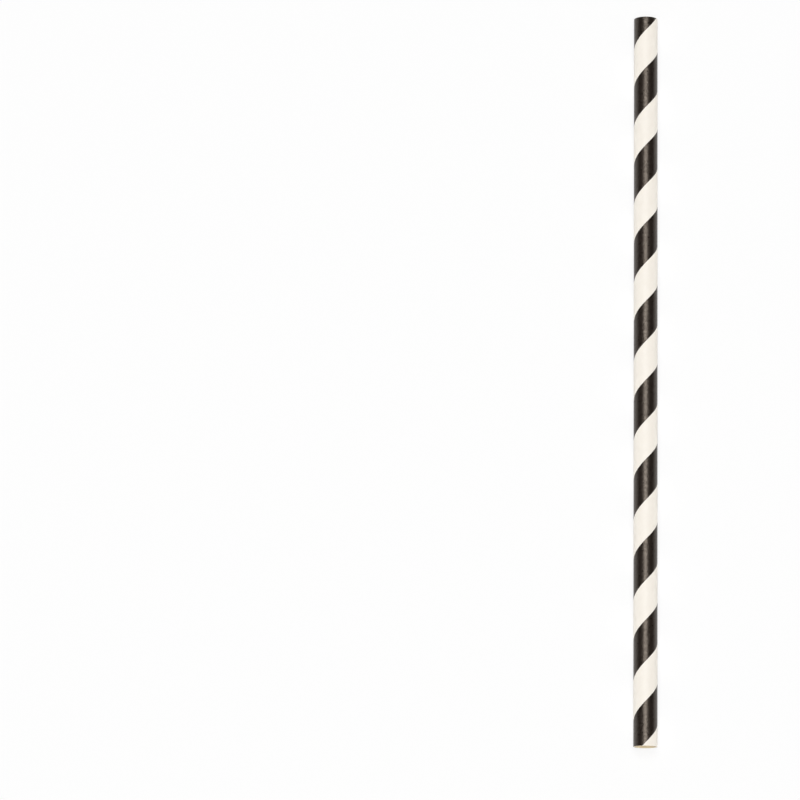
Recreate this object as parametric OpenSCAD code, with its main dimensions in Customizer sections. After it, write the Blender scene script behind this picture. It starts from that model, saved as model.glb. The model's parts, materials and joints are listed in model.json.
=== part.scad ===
// Spiral-wound paper drinking straw, lying on its side along Y on the plane Z = 0.

/* [Tube] */
// Length of the straw from one cut end to the other
straw_length = 197; // [100:1:260]
// Outside diameter of the straw
outer_d = 6.35; // [5:0.05:12]

/* [Wall] */
// Thickness of one ply of paper with its share of the glue
ply_t = 0.15; // [0.08:0.01:0.25]
// Number of plies wound over each other in the wall
ply_count = 3; // [2:1:5]

/* [Cut ends] */
// Radius that the knife leaves on the outer rim of each end
rim_r = 0.1; // [0.02:0.01:0.15]

/* [Hidden] */
$fn = 96;

outer_r = outer_d / 2;
wall_t = ply_t * ply_count;
bore_r = outer_r - wall_t;
rim_fn = 24;

// What the knife's round takes off the corner of the section at the far end
module rim_trim() {
    translate([outer_r - rim_r, straw_length / 2 - rim_r])
        difference() {
            square(rim_r);
            circle(r = rim_r, $fn = rim_fn);
        }
}

// Half of the straw's lengthwise section: radius across, axis up
module wall_section() {
    difference() {
        translate([bore_r, -straw_length / 2])
            square([wall_t, straw_length]);
        rim_trim();
        mirror([0, 1])
            rim_trim();
    }
}

// The wound and glued tube, turned from upright to lie on the ground
module straw_tube() {
    color("whitesmoke")
        translate([0, 0, outer_r])
            rotate([-90, 0, 0])
                rotate_extrude()
                    wall_section();
}

straw_tube();
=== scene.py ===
"""A spiral-wound paper drinking straw: its wound plies, printed bands, cut ends, studio and camera."""
import json
import logging
import math
from dataclasses import dataclass, field
from enum import Enum
from typing import Any

import bpy
from mathutils import Matrix, Vector


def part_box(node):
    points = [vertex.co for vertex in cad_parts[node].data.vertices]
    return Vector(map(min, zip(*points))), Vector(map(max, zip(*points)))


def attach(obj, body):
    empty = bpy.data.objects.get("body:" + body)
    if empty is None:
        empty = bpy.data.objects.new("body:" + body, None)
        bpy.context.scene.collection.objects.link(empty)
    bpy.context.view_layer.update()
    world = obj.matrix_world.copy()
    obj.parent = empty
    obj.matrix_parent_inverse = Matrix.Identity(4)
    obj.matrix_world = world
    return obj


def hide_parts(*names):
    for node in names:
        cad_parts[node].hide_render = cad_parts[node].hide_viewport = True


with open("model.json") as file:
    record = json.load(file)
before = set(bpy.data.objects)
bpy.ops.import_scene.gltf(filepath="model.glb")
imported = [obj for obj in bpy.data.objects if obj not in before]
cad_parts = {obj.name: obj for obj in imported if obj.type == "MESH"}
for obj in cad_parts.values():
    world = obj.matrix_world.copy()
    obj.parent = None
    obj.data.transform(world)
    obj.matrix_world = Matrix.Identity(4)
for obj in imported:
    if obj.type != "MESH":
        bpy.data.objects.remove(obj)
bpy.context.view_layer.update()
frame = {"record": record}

STRIP_MAP = "strip"
FINISH_MARK = "finish"
MM = 0.001
LOG = logging.getLogger("straw")

Rgba = tuple[float, float, float, float]
Socket = bpy.types.NodeSocket
PURE_WHITE: Rgba = (1.0, 1.0, 1.0, 1.0)


class Surface(Enum):
    """The kinds of surface on the straw, each with a finish of its own."""

    INK = 0
    WHITE = 1
    INSIDE = 2
    CUT = 3


def linear(red: float, green: float, blue: float) -> Rgba:
    """Turn a display colour into the scene's linear colour.

    Args:
        red: Red from 0 to 255.
        green: Green from 0 to 255.
        blue: Blue from 0 to 255.

    Returns:
        The linear colour with an alpha of 1.
    """
    shares = [channel / 255 for channel in (red, green, blue)]
    curve = [s / 12.92 if s <= 0.04045 else ((s + 0.055) / 1.055) ** 2.4 for s in shares]
    return (curve[0], curve[1], curve[2], 1.0)


@dataclass
class NodeGraph:
    """Short calls for adding nodes to one tree and linking them."""

    tree: bpy.types.NodeTree

    def feed(self, socket: Socket, value: Any) -> None:
        """Link a socket to another one, or give it a plain value.

        Args:
            socket: The input to fill.
            value: An output socket, or a number, colour, name or data block.
        """
        if isinstance(value, bpy.types.NodeSocket):
            self.tree.links.new(value, socket)
        else:
            socket.default_value = value

    def add(self, kind: str, inputs: dict[Any, Any] | None = None, **settings: Any) -> bpy.types.Node:
        """Add a node.

        Args:
            kind: The node's type name.
            inputs: What each input takes, by the input's name or number.
            settings: The node's own properties.

        Returns:
            The new node.
        """
        node = self.tree.nodes.new(kind)
        for name, value in settings.items():
            setattr(node, name, value)
        for key, value in (inputs or {}).items():
            self.feed(node.inputs[key], value)
        return node

    def math(self, operation: str, *values: Any) -> Socket:
        """Add a math node that works on sockets or plain numbers, and return its result's socket."""
        return self.add("ShaderNodeMath", dict(enumerate(values)), operation=operation).outputs[0]

    def choose(self, test: Socket, if_true: Any, if_false: Any) -> Socket:
        """Return the socket of one number where a test is 1, and of another where it is 0."""
        return self.math("MULTIPLY_ADD", test, self.math("SUBTRACT", if_true, if_false), if_false)

    def combine(self, x: Any, y: Any, z: Any) -> Socket:
        """Join three numbers into a vector and return its socket."""
        return self.add("ShaderNodeCombineXYZ", {0: x, 1: y, 2: z}).outputs[0]

    def place(self) -> tuple[Socket, Socket, Socket]:
        """Read the geometry's own position.

        Returns:
            The sockets of its X, Y and Z.
        """
        position = self.add("GeometryNodeInputPosition").outputs[0]
        parts = self.add("ShaderNodeSeparateXYZ", {0: position}).outputs
        return parts[0], parts[1], parts[2]


@dataclass(frozen=True)
class PaperFinish:
    """A paper surface: its colours, its gloss and the relief that breaks both up.

    Attributes:
        name: The material's name.
        colour: The main colour.
        mottle_colour: The colour of the blotches in it.
        roughness: Roughness at the low and at the high end of the lumps.
        gloss: The shader's specular level.
        relief: Height of the lumps.
        gloss_tint: Tint of the shine.
        lump_size: Size of a lump in the relief.
        fibre_length: Length of the mark of a paper fibre.
        fibre_width: Width of that mark.
        fibre_turn: Angle from the straw's round to the fibres, which lie along the winding.
        fibre_relief: Height of the fibres as a share of the lumps' height.
        cloud_size: Size of a soft blotch in the colour.
        octaves: Levels of finer detail in each noise.
        noise_span: The middle part of a noise's range, which is spread over the values.
    """

    name: str
    colour: Rgba
    mottle_colour: Rgba
    roughness: tuple[float, float]
    gloss: float
    relief: float
    gloss_tint: Rgba = PURE_WHITE
    lump_size: float = 0.6 * MM
    fibre_length: float = 1.8 * MM
    fibre_width: float = 0.2 * MM
    fibre_turn: float = math.radians(47.0)
    fibre_relief: float = 0.04
    cloud_size: float = 2.2 * MM
    octaves: float = 2.0
    noise_span: tuple[float, float] = (0.3, 0.7)

    def noise(self, graph: NodeGraph, length: float, width: float, turn: float = 0.0) -> Socket:
        """Add a noise over the developed paper.

        Args:
            graph: The material's graph.
            length: Length of one blotch.
            width: Width of one blotch.
            turn: Angle from the straw's round to the blotch's length.

        Returns:
            The noise's value socket.
        """
        paper = graph.add("ShaderNodeUVMap", uv_map=STRIP_MAP).outputs[0]
        # A pattern turns the opposite way to its coordinates
        turned_back = (0.0, 0.0, -turn)
        turned = graph.add("ShaderNodeMapping", {"Vector": paper, "Rotation": turned_back}).outputs[0]
        scale = (1 / length, 1 / width, 1.0)
        stretched = graph.add("ShaderNodeMapping", {"Vector": turned, "Scale": scale}).outputs[0]
        inputs = {"Vector": stretched, "Scale": 1.0, "Detail": self.octaves}
        return graph.add("ShaderNodeTexNoise", inputs).outputs["Fac"]

    def between(self, graph: NodeGraph, noise: Socket, low: float, high: float) -> Socket:
        """Spread a noise over a range.

        Args:
            graph: The material's graph.
            noise: The noise's value.
            low: Value at the noise's low end.
            high: Value at its high end.

        Returns:
            The spread value's socket.
        """
        from_low, from_high = self.noise_span
        inputs = {"Value": noise, "From Min": from_low, "From Max": from_high}
        inputs.update({"To Min": low, "To Max": high})
        return graph.add("ShaderNodeMapRange", inputs).outputs[0]

    def build(self) -> bpy.types.Material:
        """Make the material.

        Returns:
            The new material.
        """
        material = bpy.data.materials.new(self.name)
        material.use_nodes = True
        graph = NodeGraph(material.node_tree)
        shader = material.node_tree.nodes["Principled BSDF"]
        shader.inputs["Specular IOR Level"].default_value = self.gloss
        shader.inputs["Specular Tint"].default_value = self.gloss_tint

        lumps = self.noise(graph, self.lump_size, self.lump_size)
        fibres = self.noise(graph, self.fibre_length, self.fibre_width, self.fibre_turn)
        clouds = self.noise(graph, self.cloud_size, self.cloud_size)
        blotches = graph.math("MULTIPLY", graph.math("ADD", fibres, clouds), 0.5)
        colour = graph.add("ShaderNodeMix", data_type="RGBA")
        graph.feed(colour.inputs["Factor"], self.between(graph, blotches, 0.0, 1.0))
        graph.feed(colour.inputs["A"], self.colour)
        graph.feed(colour.inputs["B"], self.mottle_colour)
        graph.feed(shader.inputs["Base Color"], colour.outputs["Result"])
        graph.feed(shader.inputs["Roughness"], self.between(graph, lumps, *self.roughness))

        height = graph.math("MULTIPLY_ADD", fibres, self.fibre_relief, lumps)
        bump = graph.add("ShaderNodeBump", {"Strength": 1.0, "Distance": self.relief, "Height": height})
        graph.feed(shader.inputs["Normal"], bump.outputs[0])
        return material


@dataclass
class StrawTube:
    """The wound tube, modelled as what shows: the printed outer ply, the inner ply and the cut ends.

    The joint of the outer ply lies along the middle of the printed band, as on a strip that is printed
    along both edges and wound edge to edge.

    Attributes:
        length: Length of the straw.
        outer_r: Radius of the outside.
        bore_r: Radius of the bore.
        finishes: The finish of each kind of surface.
        ply_count: Number of plies in the wall.
        pitch: How far the winding climbs in one turn.
        ink_length: Length of a printed band along the axis.
        ink_middle: Where the middle of a band, which is the outer joint, crosses the top line.
        inner_joint: Where the inner ply's joint crosses the top line.
        rim_r: Radius of the outer rim of each end.
        joint_depth: How deep a ply sinks at its joint.
        joint_reach: How far along the axis a joint's sinking reaches.
        ply_dip: How far the plies' edges lie back from their middles in a cut end.
        dip_power: How narrow the creases between the plies are.
        weld: Distance within which the points of neighbouring strips become one.
        sharp_angle: Angle above which an edge is shaded sharp.
        columns_per_turn: Number of points in one turn of a strip.
        outer_rows: Rows of faces between the print's edges, and from one edge to the joint, outside.
        inner_rows: The same for the inner ply.
        row_crowding: How strongly the rows crowd towards a joint.
        rim_rows: Rows of faces on a rim.
        wall_rows: Rows of faces across the cut of the wall.
        inputs: The tree's named inputs, once the tree is started.
    """

    length: float
    outer_r: float
    bore_r: float
    finishes: dict[Surface, PaperFinish]
    ply_count: int = 3
    pitch: float = 21.385 * MM
    ink_length: float = 10.93 * MM
    ink_middle: float = -6.53 * MM
    inner_joint: float = 4.0 * MM
    rim_r: float = 0.1 * MM
    joint_depth: float = 0.015 * MM
    joint_reach: float = 0.06 * MM
    ply_dip: float = 0.02 * MM
    dip_power: float = 6.0
    weld: float = 0.001 * MM
    sharp_angle: float = math.radians(40.0)
    columns_per_turn: int = 128
    outer_rows: tuple[int, int] = (8, 10)
    inner_rows: tuple[int, int] = (4, 8)
    row_crowding: float = 2.2
    rim_rows: int = 5
    wall_rows: int = 14
    inputs: dict[str, Socket] = field(default_factory=dict)

    def sizes(self) -> dict[str, float]:
        """Name the sizes that the tree takes.

        Returns:
            Each size's name with its value.
        """
        return {
            "Length": self.length,
            "Outer Radius": self.outer_r,
            "Bore Radius": self.bore_r,
            "Ply Thickness": (self.outer_r - self.bore_r) / self.ply_count,
            "Pitch": self.pitch,
            "Ink Length": self.ink_length,
            "Outer Joint": self.ink_middle,
            "Inner Joint": self.inner_joint,
            "Rim Radius": self.rim_r,
            "Joint Depth": self.joint_depth,
            "Joint Reach": self.joint_reach,
            "Ply Dip": self.ply_dip,
            "Columns per Turn": float(self.columns_per_turn),
        }

    def open_tree(self) -> tuple[bpy.types.NodeTree, NodeGraph]:
        """Start the tree with one named input for each size and finish.

        Returns:
            The tree and its graph.
        """
        tree = bpy.data.node_groups.new("WoundStraw", "GeometryNodeTree")
        graph = NodeGraph(tree)
        tree.interface.new_socket("Geometry", in_out="OUTPUT", socket_type="NodeSocketGeometry")
        for name in self.sizes():
            tree.interface.new_socket(name, in_out="INPUT", socket_type="NodeSocketFloat")
        for surface in Surface:
            tree.interface.new_socket(surface.name, in_out="INPUT", socket_type="NodeSocketMaterial")
        entry = graph.add("NodeGroupInput")
        self.inputs = {socket.name: socket for socket in entry.outputs if socket.name}
        return tree, graph

    def flat_grid(self, graph: NodeGraph, columns: Socket, rows: int) -> tuple[Socket, Socket, Socket]:
        """Add a flat grid whose places count its columns and rows.

        Args:
            graph: The tree's graph.
            columns: Number of points along the grid.
            rows: Number of points across it.

        Returns:
            The grid's mesh, and the fields of its column and row numbers.
        """
        span = graph.math("SUBTRACT", columns, 1.0)
        counts = {"Size X": span, "Size Y": float(rows - 1), "Vertices X": columns, "Vertices Y": rows}
        grid = graph.add("GeometryNodeMeshGrid", counts)
        across, up, _ = graph.place()
        column = graph.math("MULTIPLY_ADD", span, 0.5, across)
        row = graph.math("ADD", up, (rows - 1) / 2)
        return grid.outputs["Mesh"], column, row

    def mark(self, graph: NodeGraph, mesh: Socket, finish: Socket, along: Socket, across: Socket) -> Socket:
        """Store each face's finish and each corner's place on the developed paper.

        Args:
            graph: The tree's graph.
            mesh: The grid, still flat.
            finish: Number of the face's Surface.
            along: Place round the straw.
            across: Place along the straw.

        Returns:
            The marked mesh.
        """
        inputs = {"Geometry": mesh, "Name": FINISH_MARK}
        faces = graph.add("GeometryNodeStoreNamedAttribute", inputs, data_type="INT", domain="FACE")
        graph.feed(faces.inputs["Value"], finish)
        inputs = {"Geometry": faces.outputs[0], "Name": STRIP_MAP}
        corners = graph.add("GeometryNodeStoreNamedAttribute", inputs, data_type="FLOAT2", domain="CORNER")
        graph.feed(corners.inputs["Value"], graph.combine(along, across, 0.0))
        return corners.outputs[0]

    def wrap_round(self, graph: NodeGraph, mesh: Socket, radius: Socket, angle: Socket, y: Socket) -> Socket:
        """Set a mesh round the straw's axis.

        Args:
            graph: The tree's graph.
            mesh: The mesh.
            radius: Distance from the axis.
            angle: Angle from straight up, towards +X.
            y: Place along the axis.

        Returns:
            The bent mesh.
        """
        x = graph.math("MULTIPLY", radius, graph.math("SINE", angle))
        up = graph.math("MULTIPLY", radius, graph.math("COSINE", angle))
        z = graph.math("ADD", up, self.inputs["Outer Radius"])
        inputs = {"Geometry": mesh, "Position": graph.combine(x, y, z)}
        return graph.add("GeometryNodeSetPosition", inputs).outputs[0]

    def row_places(
        self, graph: NodeGraph, row: Socket, side: Socket, counts: tuple[int, int]
    ) -> tuple[Socket, Socket]:
        """Spread a strip's rows, with the edges of the print on rows and more rows towards the joint.

        Args:
            graph: The tree's graph.
            row: The row's number.
            side: Length along the axis from the joint to the edge of the print.
            counts: Number of rows between the print's edges, and from one edge to the joint.

        Returns:
            How far the row lies from the strip's middle, and whether that is between the print's edges.
        """
        core_rows, side_rows = counts
        half_pitch = graph.math("MULTIPLY", self.inputs["Pitch"], 0.5)
        core = graph.math("SUBTRACT", half_pitch, side)
        off_middle = graph.math("SUBTRACT", row, core_rows / 2 + side_rows)
        steps = graph.math("ABSOLUTE", off_middle)
        in_core = graph.math("MINIMUM", graph.math("DIVIDE", steps, core_rows / 2), 1.0)
        past_core = graph.math("MAXIMUM", graph.math("SUBTRACT", steps, core_rows / 2), 0.0)
        to_joint = graph.math("SUBTRACT", 1.0, graph.math("DIVIDE", past_core, float(side_rows)))
        crowded = graph.math("SUBTRACT", 1.0, graph.math("POWER", to_joint, self.row_crowding))
        width = graph.math("MULTIPLY_ADD", core, in_core, graph.math("MULTIPLY", side, crowded))
        across = graph.math("MULTIPLY", width, graph.math("SIGN", off_middle))
        return across, graph.math("LESS_THAN", steps, core_rows / 2)

    def wound_strip(
        self, graph: NodeGraph, radius: Socket, joint: Socket, end: Socket,
        counts: tuple[int, int], shows: tuple[Surface, Surface],
    ) -> Socket:
        """Wind one paper strip into a tube with its edges butted.

        Args:
            graph: The tree's graph.
            radius: Radius of the surface that shows.
            joint: Where the joint crosses the top line of the straw.
            end: Half of the length at which the strip is cut off.
            counts: Number of rows between the print's edges, and from one edge to the joint.
            shows: What the strip shows beside its joint, and between the print's edges.

        Returns:
            The strip's mesh.
        """
        pitch, per_turn = self.inputs["Pitch"], self.inputs["Columns per Turn"]
        half_pitch = graph.math("MULTIPLY", pitch, 0.5)
        middle = graph.math("ADD", joint, half_pitch)
        reach = graph.math("ADD", end, half_pitch)
        turns = graph.math("DIVIDE", graph.math("MULTIPLY", reach, 2.0), pitch)
        # One point more than steps, and one because the first column is rounded down
        columns = graph.math("ADD", graph.math("CEIL", graph.math("MULTIPLY", turns, per_turn)), 2.0)
        start = graph.math("DIVIDE", graph.math("ADD", reach, middle), pitch)
        first = graph.math("MULTIPLY", graph.math("CEIL", graph.math("MULTIPLY", start, per_turn)), -1.0)

        mesh, column, row = self.flat_grid(graph, columns, counts[0] + 2 * counts[1] + 1)
        turn = graph.math("DIVIDE", graph.math("ADD", first, column), per_turn)
        angle = graph.math("MULTIPLY", turn, math.tau)
        side = graph.math("MULTIPLY", self.inputs["Ink Length"], 0.5)
        across, is_core = self.row_places(graph, row, side, counts)
        on_strip = graph.math("ADD", graph.math("MULTIPLY_ADD", pitch, turn, middle), across)
        not_past = graph.math("MINIMUM", on_strip, end)
        y = graph.math("MAXIMUM", not_past, graph.math("MULTIPLY", end, -1.0))

        beside, between = shows
        finish = graph.choose(is_core, float(between.value), float(beside.value))
        marked = self.mark(graph, mesh, finish, graph.math("MULTIPLY", radius, angle), on_strip)
        return self.wrap_round(graph, marked, radius, angle, y)

    def cut_end(self, graph: NodeGraph, facing: float) -> Socket:
        """Close the wall at one end, over the printed rim and the edges of the plies.

        Args:
            graph: The tree's graph.
            facing: 1 for the far end, -1 for the near end.

        Returns:
            The end's mesh.
        """
        outer, bore, rim = (self.inputs[name] for name in ("Outer Radius", "Bore Radius", "Rim Radius"))
        per_turn = self.inputs["Columns per Turn"]
        columns = graph.math("ADD", per_turn, 1.0)
        mesh, column, row = self.flat_grid(graph, columns, self.rim_rows + self.wall_rows + 1)
        on_rim = graph.math("MINIMUM", row, float(self.rim_rows))
        bend = graph.math("MULTIPLY", on_rim, math.pi / 2 / self.rim_rows)
        past_rim = graph.math("SUBTRACT", row, on_rim)
        wall_share = graph.math("DIVIDE", past_rim, float(self.wall_rows))

        # The columns lean with the winding on the rim, so that the edge of a band runs straight on over it,
        # and come back to the columns of the bore across the wall
        rise = graph.math("MULTIPLY", graph.math("MULTIPLY", rim, graph.math("SINE", bend)), facing)
        climb = graph.math("DIVIDE", rise, self.inputs["Pitch"])
        slant = graph.math("MULTIPLY", climb, graph.math("SUBTRACT", 1.0, wall_share))
        turn = graph.math("ADD", graph.math("DIVIDE", column, per_turn), slant)
        angle = graph.math("MULTIPLY", turn, math.tau)

        flat = graph.math("SUBTRACT", graph.math("SUBTRACT", outer, bore), rim)
        sunk = graph.math("MULTIPLY", rim, graph.math("SUBTRACT", 1.0, graph.math("COSINE", bend)))
        depth = graph.math("MULTIPLY_ADD", wall_share, flat, sunk)
        is_wall = graph.math("GREATER_THAN", past_rim, 0.5)
        dip = graph.math("MULTIPLY", self.ply_crease(graph, depth), is_wall)
        back = graph.math("MULTIPLY_ADD", rim, graph.math("SUBTRACT", 1.0, graph.math("SINE", bend)), dip)
        half = graph.math("MULTIPLY", self.inputs["Length"], 0.5)
        y = graph.math("MULTIPLY", graph.math("SUBTRACT", half, back), facing)

        finish = self.rim_finish(graph, column, row, facing)
        marked = self.mark(graph, mesh, finish, graph.math("MULTIPLY", outer, angle), depth)
        wrapped = self.wrap_round(graph, marked, graph.math("SUBTRACT", outer, depth), angle, y)
        return wrapped if facing > 0 else graph.add("GeometryNodeFlipFaces", {0: wrapped}).outputs[0]

    def ply_crease(self, graph: NodeGraph, depth: Socket) -> Socket:
        """How far the cut of the wall lies back, which is most at the plies' edges.

        Args:
            graph: The tree's graph.
            depth: Depth of the point below the outside of the straw.

        Returns:
            The field of that distance.
        """
        plies = graph.math("DIVIDE", depth, self.inputs["Ply Thickness"])
        wave = graph.math("ABSOLUTE", graph.math("COSINE", graph.math("MULTIPLY", plies, math.pi)))
        return graph.math("MULTIPLY", graph.math("POWER", wave, self.dip_power), self.inputs["Ply Dip"])

    def rim_finish(self, graph: NodeGraph, column: Socket, row: Socket, facing: float) -> Socket:
        """Carry the printed bands over an end's rim, up to the bare cut.

        Args:
            graph: The tree's graph.
            column: Column of the end's grid.
            row: Row of the end's grid.
            facing: 1 for the far end, -1 for the near end.

        Returns:
            The number of each face's Surface.
        """
        half = graph.math("MULTIPLY", self.inputs["Length"], 0.5)
        strip_end = graph.math("MULTIPLY", graph.math("SUBTRACT", half, self.inputs["Rim Radius"]), facing)
        # A strip's mesh meets the end at a whole column, just past where the edge of its band would cross
        # the end, so each face asks for the band half a column further in
        asks_at = graph.math("SUBTRACT", column, facing / 2)
        turn = graph.math("DIVIDE", asks_at, self.inputs["Columns per Turn"])
        angle = graph.math("MULTIPLY", turn, math.tau)
        gap = graph.math("ABSOLUTE", self.joint_gap(graph, angle, strip_end, self.inputs["Outer Joint"]))
        is_white = graph.math("GREATER_THAN", gap, graph.math("MULTIPLY", self.inputs["Ink Length"], 0.5))
        band = graph.choose(is_white, float(Surface.WHITE.value), float(Surface.INK.value))
        is_cut = graph.math("GREATER_THAN", row, float(self.rim_rows))
        return graph.choose(is_cut, float(Surface.CUT.value), band)

    def joint_gap(self, graph: NodeGraph, angle: Socket, y: Socket, joint: Socket) -> Socket:
        """How far along the axis a point lies from the nearest turn of a joint.

        Args:
            graph: The tree's graph.
            angle: Angle of the point about the axis.
            y: Place of the point along the axis.
            joint: Where the joint crosses the top line of the straw.

        Returns:
            The field of that distance, with its sign.
        """
        pitch = self.inputs["Pitch"]
        half = graph.math("MULTIPLY", pitch, 0.5)
        climb = graph.math("MULTIPLY_ADD", pitch, graph.math("DIVIDE", angle, math.tau), joint)
        return graph.math("WRAP", graph.math("SUBTRACT", y, climb), half, graph.math("MULTIPLY", half, -1.0))

    def joint_dent(self, graph: NodeGraph, gap: Socket, off_face: Socket) -> Socket:
        """How far a ply's surface sinks beside the joint of its strip.

        Args:
            graph: The tree's graph.
            gap: Distance of the point from the joint along the axis.
            off_face: Depth of the point below the ply's surface.

        Returns:
            The field of the sinking.
        """
        share = graph.math("DIVIDE", gap, self.inputs["Joint Reach"])
        fall = graph.math("EXPONENT", graph.math("MULTIPLY", graph.math("MULTIPLY", share, share), -1.0))
        plies = graph.math("DIVIDE", off_face, self.inputs["Ply Thickness"])
        hold = graph.math("MAXIMUM", graph.math("SUBTRACT", 1.0, plies), 0.0)
        return graph.math("MULTIPLY", graph.math("MULTIPLY", fall, hold), self.inputs["Joint Depth"])

    def open_joints(self, graph: NodeGraph, mesh: Socket) -> Socket:
        """Sink both visible plies along the joints of their strips.

        Args:
            graph: The tree's graph.
            mesh: The closed tube.

        Returns:
            The tube with its joints.
        """
        outer, bore = self.inputs["Outer Radius"], self.inputs["Bore Radius"]
        x, y, z = graph.place()
        up = graph.math("SUBTRACT", z, outer)
        angle = graph.math("ARCTAN2", x, up)
        radius = graph.math("SQRT", graph.math("MULTIPLY_ADD", x, x, graph.math("MULTIPLY", up, up)))
        outer_gap = self.joint_gap(graph, angle, y, self.inputs["Outer Joint"])
        inner_gap = self.joint_gap(graph, angle, y, self.inputs["Inner Joint"])
        outside = self.joint_dent(graph, outer_gap, graph.math("SUBTRACT", outer, radius))
        inside = self.joint_dent(graph, inner_gap, graph.math("SUBTRACT", radius, bore))
        moved = graph.math("ADD", graph.math("SUBTRACT", radius, outside), inside)
        return self.wrap_round(graph, mesh, moved, angle, y)

    def shade(self, graph: NodeGraph, mesh: Socket) -> Socket:
        """Shade the tube smooth, apart from the inner edges of its ends.

        Args:
            graph: The tree's graph.
            mesh: The tube.

        Returns:
            The shaded tube.
        """
        inputs = {"Geometry": mesh, "Shade Smooth": True}
        smooth = graph.add("GeometryNodeSetShadeSmooth", inputs, domain="FACE")
        bend = graph.add("GeometryNodeInputMeshEdgeAngle").outputs["Unsigned Angle"]
        is_sharp = graph.math("GREATER_THAN", bend, self.sharp_angle)
        inputs = {"Geometry": smooth.outputs[0], "Selection": is_sharp, "Shade Smooth": False}
        return graph.add("GeometryNodeSetShadeSmooth", inputs, domain="EDGE").outputs[0]

    def dress(self, graph: NodeGraph, mesh: Socket) -> Socket:
        """Give each face the material of its Surface.

        Args:
            graph: The tree's graph.
            mesh: The marked tube.

        Returns:
            The dressed tube.
        """
        for surface in Surface:
            mark = graph.add("GeometryNodeInputNamedAttribute", {"Name": FINISH_MARK}, data_type="INT")
            same = graph.add("FunctionNodeCompare", data_type="INT", operation="EQUAL")
            graph.feed(same.inputs["A"], mark.outputs["Attribute"])
            graph.feed(same.inputs["B"], surface.value)
            inputs = {"Geometry": mesh, "Selection": same.outputs[0], "Material": self.inputs[surface.name]}
            mesh = graph.add("GeometryNodeSetMaterial", inputs).outputs[0]
        return mesh

    def build_tree(self) -> bpy.types.NodeTree:
        """Make the tree that winds the straw.

        Returns:
            The finished tree.
        """
        tree, graph = self.open_tree()
        half = graph.math("MULTIPLY", self.inputs["Length"], 0.5)
        outer_end = graph.math("SUBTRACT", half, self.inputs["Rim Radius"])
        inner_end = graph.math("SUBTRACT", half, self.inputs["Ply Dip"])
        outer = self.wound_strip(graph, self.inputs["Outer Radius"], self.inputs["Outer Joint"], outer_end,
                                 self.outer_rows, (Surface.INK, Surface.WHITE))
        inner = self.wound_strip(graph, self.inputs["Bore Radius"], self.inputs["Inner Joint"], inner_end,
                                 self.inner_rows, (Surface.INSIDE, Surface.INSIDE))
        lining = graph.add("GeometryNodeFlipFaces", {0: inner}).outputs[0]
        joined = graph.add("GeometryNodeJoinGeometry")
        for mesh in (outer, lining, self.cut_end(graph, 1.0), self.cut_end(graph, -1.0)):
            graph.feed(joined.inputs[0], mesh)
        inputs = {"Geometry": joined.outputs[0], "Distance": self.weld}
        closed = graph.add("GeometryNodeMergeByDistance", inputs)
        shaded = self.shade(graph, self.open_joints(graph, closed.outputs[0]))
        real = graph.add("GeometryNodeRealizeInstances", {"Geometry": shaded}).outputs[0]
        leave = graph.add("NodeGroupOutput")
        graph.feed(leave.inputs[0], self.dress(graph, real))
        return tree

    def build(self) -> bpy.types.Object:
        """Wind the straw, turn it into a plain mesh and set it on the frame.

        Returns:
            The finished piece.
        """
        tree = self.build_tree()
        straw = bpy.data.objects.new("paper_straw", bpy.data.meshes.new("paper_straw_seed"))
        bpy.context.scene.collection.objects.link(straw)
        modifier = straw.modifiers.new("Winding", "NODES")
        modifier.node_group = tree
        values: dict[str, Any] = self.sizes()
        values.update({surface.name: self.finishes[surface].build() for surface in Surface})
        for item in tree.interface.items_tree:
            if item.in_out == "INPUT":
                modifier[item.identifier] = values[item.name]
        graph = bpy.context.evaluated_depsgraph_get()
        wound = straw.evaluated_get(graph)
        mesh = bpy.data.meshes.new_from_object(wound, preserve_all_data_layers=True, depsgraph=graph)
        mesh.name = "paper_straw"
        straw.modifiers.clear()
        straw.data = mesh
        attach(straw, "root")
        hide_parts("straw_tube")
        return straw


@dataclass(frozen=True)
class SoftLight:
    """One soft studio light.

    Attributes:
        name: The light's name.
        size: Its sizes along X and Y before it is turned, in metres.
        power: Its power in watts.
        in_gloss: Whether shiny surfaces mirror it.
    """

    name: str
    size: tuple[float, float]
    power: float
    in_gloss: bool

    def hang(self, place: Vector, turn: tuple[float, float, float]) -> None:
        """Put the light into the scene.

        Args:
            place: The light's middle.
            turn: Its turns about X, Y and Z, from straight down.
        """
        lamp = bpy.data.lights.new(self.name, "AREA")
        lamp.shape = "RECTANGLE"
        lamp.size, lamp.size_y = self.size
        lamp.energy = self.power
        light = bpy.data.objects.new(self.name, lamp)
        light.location = place
        light.rotation_euler = turn
        light.visible_camera = False
        light.visible_glossy = self.in_gloss
        bpy.context.scene.collection.objects.link(light)


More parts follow.
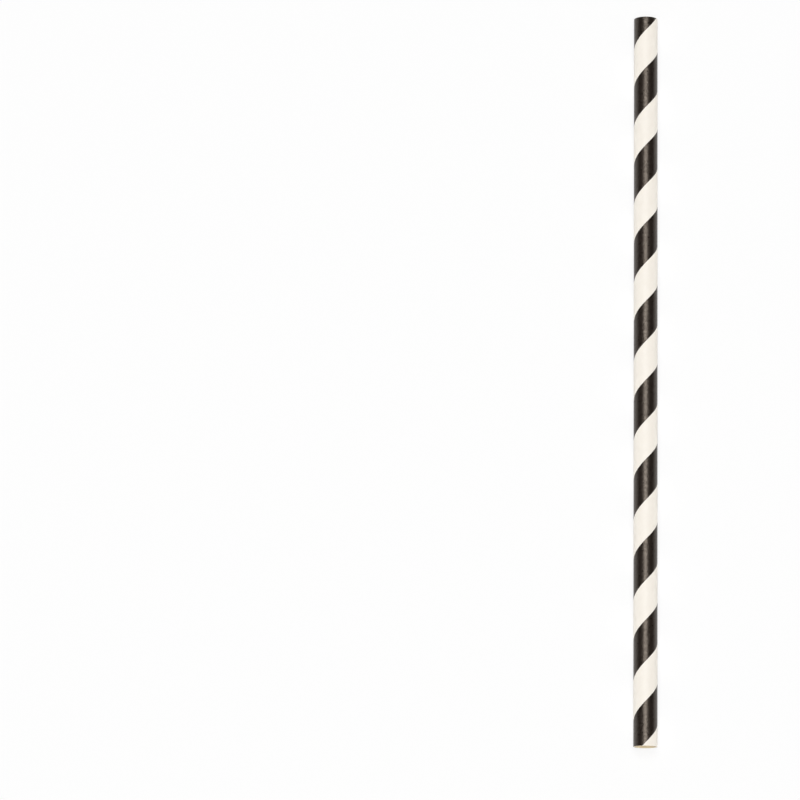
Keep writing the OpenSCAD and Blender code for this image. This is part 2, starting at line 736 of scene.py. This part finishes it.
@dataclass
class Studio:
    """The plain white floor with its raised edge, the soft lights and the dim surround.

    Attributes:
        floor_r: Radius of the floor in metres.
        cove_r: Radius of the curve up at its edge.
        cove_steps: Rows of faces in that curve.
        floor_sides: Number of sides that the floor's round has.
        floor_colour: The floor's matte colour.
        floor_glow: Share of plain white in the floor where it is seen or mirrored.
        surround: Strength of the even light from all round.
        overhead: The main light, above the straw.
        overhead_up: Its height above the straw.
        left: The low light on the left.
        right: The low light on the right.
        near: The low light at the near end.
        fill_away: How far the left and the right light stand from the straw.
        near_away: How far the near light stands from it.
    """

    floor_r: float = 8.0
    cove_r: float = 0.8
    cove_steps: int = 12
    floor_sides: int = 96
    floor_colour: Rgba = (0.95, 0.95, 0.95, 1.0)
    floor_glow: float = 0.8
    surround: float = 0.11
    overhead: SoftLight = SoftLight("softbox", size=(0.82, 1.8), power=26.4, in_gloss=True)
    overhead_up: float = 1.6
    left: SoftLight = SoftLight("fill_left", size=(0.126, 3.0), power=3.6, in_gloss=False)
    right: SoftLight = SoftLight("fill_right", size=(0.126, 3.0), power=4.6, in_gloss=False)
    near: SoftLight = SoftLight("fill_near", size=(1.2, 0.5), power=5.4, in_gloss=False)
    fill_away: float = 1.2
    near_away: float = 1.6

    def floor_finish(self) -> bpy.types.Material:
        """Make the floor's white, which keeps the shadow.

        Returns:
            The floor's material.
        """
        material = bpy.data.materials.new("floor_white")
        material.use_nodes = True
        graph = NodeGraph(material.node_tree)
        material.node_tree.nodes.clear()
        path = graph.add("ShaderNodeLightPath").outputs
        seen = graph.math("MAXIMUM", path["Is Camera Ray"], path["Is Glossy Ray"])
        seen = graph.math("MAXIMUM", seen, path["Is Transmission Ray"])
        matte = graph.add("ShaderNodeBsdfDiffuse", {"Color": self.floor_colour}).outputs[0]
        white = graph.add("ShaderNodeEmission", {"Color": PURE_WHITE, "Strength": 1.0}).outputs[0]
        share = graph.math("MULTIPLY", seen, self.floor_glow)
        mix = graph.add("ShaderNodeMixShader", {0: share, 1: matte, 2: white}).outputs[0]
        graph.add("ShaderNodeOutputMaterial", {"Surface": mix})
        return material

    def build_floor(self) -> bpy.types.Object:
        """Make the round floor, which curves up at its edge.

        Returns:
            The floor.
        """
        sides = self.floor_sides
        bends = [math.pi / 2 * step / self.cove_steps for step in range(self.cove_steps + 1)]
        flat_r = self.floor_r - self.cove_r
        rings = [(flat_r + self.cove_r * math.sin(b), self.cove_r * (1 - math.cos(b))) for b in bends]
        angles = [math.tau * k / sides for k in range(sides)]
        points = [(r * math.cos(a), r * math.sin(a), z) for r, z in rings for a in angles]
        faces = [tuple(range(sides))]
        for low in range(0, self.cove_steps * sides, sides):
            for k in range(sides):
                after = (k + 1) % sides
                faces.append((low + k, low + sides + k, low + sides + after, low + after))
        mesh = bpy.data.meshes.new("floor")
        mesh.from_pydata(points, [], faces)
        mesh.shade_smooth()
        mesh.materials.append(self.floor_finish())
        floor = bpy.data.objects.new("floor", mesh)
        bpy.context.scene.collection.objects.link(floor)
        return floor

    def build_light(self, middle: Vector, eye: Vector) -> None:
        """Hang the lights, the main one where the top of the straw mirrors it, and set the surround.

        Args:
            middle: The middle of the straw.
            eye: The place that the straw is seen from.
        """
        seen = eye - middle
        lean = math.atan2(seen.x, seen.z)
        self.overhead.hang(middle + Vector((math.tan(lean), 0, 1)) * self.overhead_up, (0, lean, 0))
        for light, side in ((self.left, -1), (self.right, 1)):
            light.hang(Vector((side * self.fill_away, 0, light.size[0] / 2)), (0, side * math.pi / 2, 0))
        self.near.hang(Vector((seen.x, -self.near_away, self.near.size[1] / 2)), (math.pi / 2, 0, 0))
        world = bpy.data.worlds.new("surround")
        world.use_nodes = True
        sky = world.node_tree.nodes["Background"]
        sky.inputs["Color"].default_value = PURE_WHITE
        sky.inputs["Strength"].default_value = self.surround
        bpy.context.scene.world = world


@dataclass
class PhotoCamera:
    """The camera, placed by how the straw lies in its view.

    Attributes:
        focal_px: Focal length in pixels of the picture.
        frame_px: Width of the picture in pixels.
        sensor: Width of the sensor in millimetres.
        tilt: Angle of the view from straight down.
        yaw: Turn of the view about the vertical.
        straw_right: How far the straw's middle lies to the right of the view's middle.
        straw_above: How far it lies above that.
        straw_depth: How far it lies in front of the camera.
    """

    focal_px: float = 4500.0
    frame_px: float = 800.0
    sensor: float = 36.0
    tilt: float = math.radians(11.0)
    yaw: float = math.radians(0.629)
    straw_right: float = 65.25 * MM
    straw_above: float = 5.96 * MM
    straw_depth: float = 1195.6 * MM

    def build(self, middle: Vector) -> bpy.types.Object:
        """Make the camera.

        Args:
            middle: The middle of the straw.

        Returns:
            The camera.
        """
        right = Vector((math.cos(self.yaw), math.sin(self.yaw), 0))
        level = Vector((-math.sin(self.yaw), math.cos(self.yaw), 0))
        forward = level * math.sin(self.tilt) - Vector((0, 0, math.cos(self.tilt)))
        up = level * math.cos(self.tilt) + Vector((0, 0, math.sin(self.tilt)))
        lens = bpy.data.cameras.new("camera")
        lens.sensor_width = self.sensor
        lens.lens = self.focal_px / self.frame_px * self.sensor
        camera = bpy.data.objects.new("camera", lens)
        place = middle - right * self.straw_right - up * self.straw_above - forward * self.straw_depth
        turn = Matrix((right, up, -forward)).transposed()
        camera.matrix_world = Matrix.Translation(place) @ turn.to_4x4()
        bpy.context.scene.collection.objects.link(camera)
        bpy.context.scene.camera = camera
        return camera


FINISHES = {
    Surface.INK: PaperFinish(
        name="ink_on_paper",
        colour=linear(21, 12, 7),
        mottle_colour=linear(15, 8, 5),
        roughness=(0.26, 0.44),
        gloss=0.78,
        relief=0.05 * MM,
        gloss_tint=(1.0, 0.86, 0.73, 1.0),
    ),
    Surface.WHITE: PaperFinish(
        name="white_paper",
        colour=linear(249, 243, 233),
        mottle_colour=linear(245, 238, 227),
        roughness=(0.42, 0.54),
        gloss=0.5,
        relief=0.06 * MM,
    ),
    Surface.INSIDE: PaperFinish(
        name="inner_paper",
        colour=linear(253, 240, 210),
        mottle_colour=linear(249, 233, 200),
        roughness=(0.7, 0.85),
        gloss=0.3,
        relief=0.05 * MM,
    ),
    Surface.CUT: PaperFinish(
        name="cut_paper",
        colour=linear(246, 236, 214),
        mottle_colour=linear(236, 223, 198),
        roughness=(0.75, 0.9),
        gloss=0.3,
        relief=0.05 * MM,
    ),
}


def main() -> None:
    """Build the straw, the studio and the camera."""
    logging.basicConfig(level=logging.INFO, format="%(message)s")
    bpy.context.scene.view_settings.view_transform = "Standard"
    low, high = (Vector(corner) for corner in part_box("straw_tube"))
    mounts = {mount["name"]: mount["dims"] for mount in frame["record"]["mounts"]}
    tube = StrawTube(
        length=high.y - low.y,
        outer_r=mounts["outside"]["r_mm"] * MM,
        bore_r=mounts["bore"]["r_mm"] * MM,
        finishes=FINISHES,
    )
    straw = tube.build()
    LOG.info("%s: %d faces", straw.name, len(straw.data.polygons))

    middle = Vector((0, 0, tube.outer_r))
    camera = PhotoCamera().build(middle)
    studio = Studio()
    floor = studio.build_floor()
    studio.build_light(middle, camera.location)
    LOG.info("%s: %d faces", floor.name, len(floor.data.polygons))


if __name__ == "__main__":
    main()
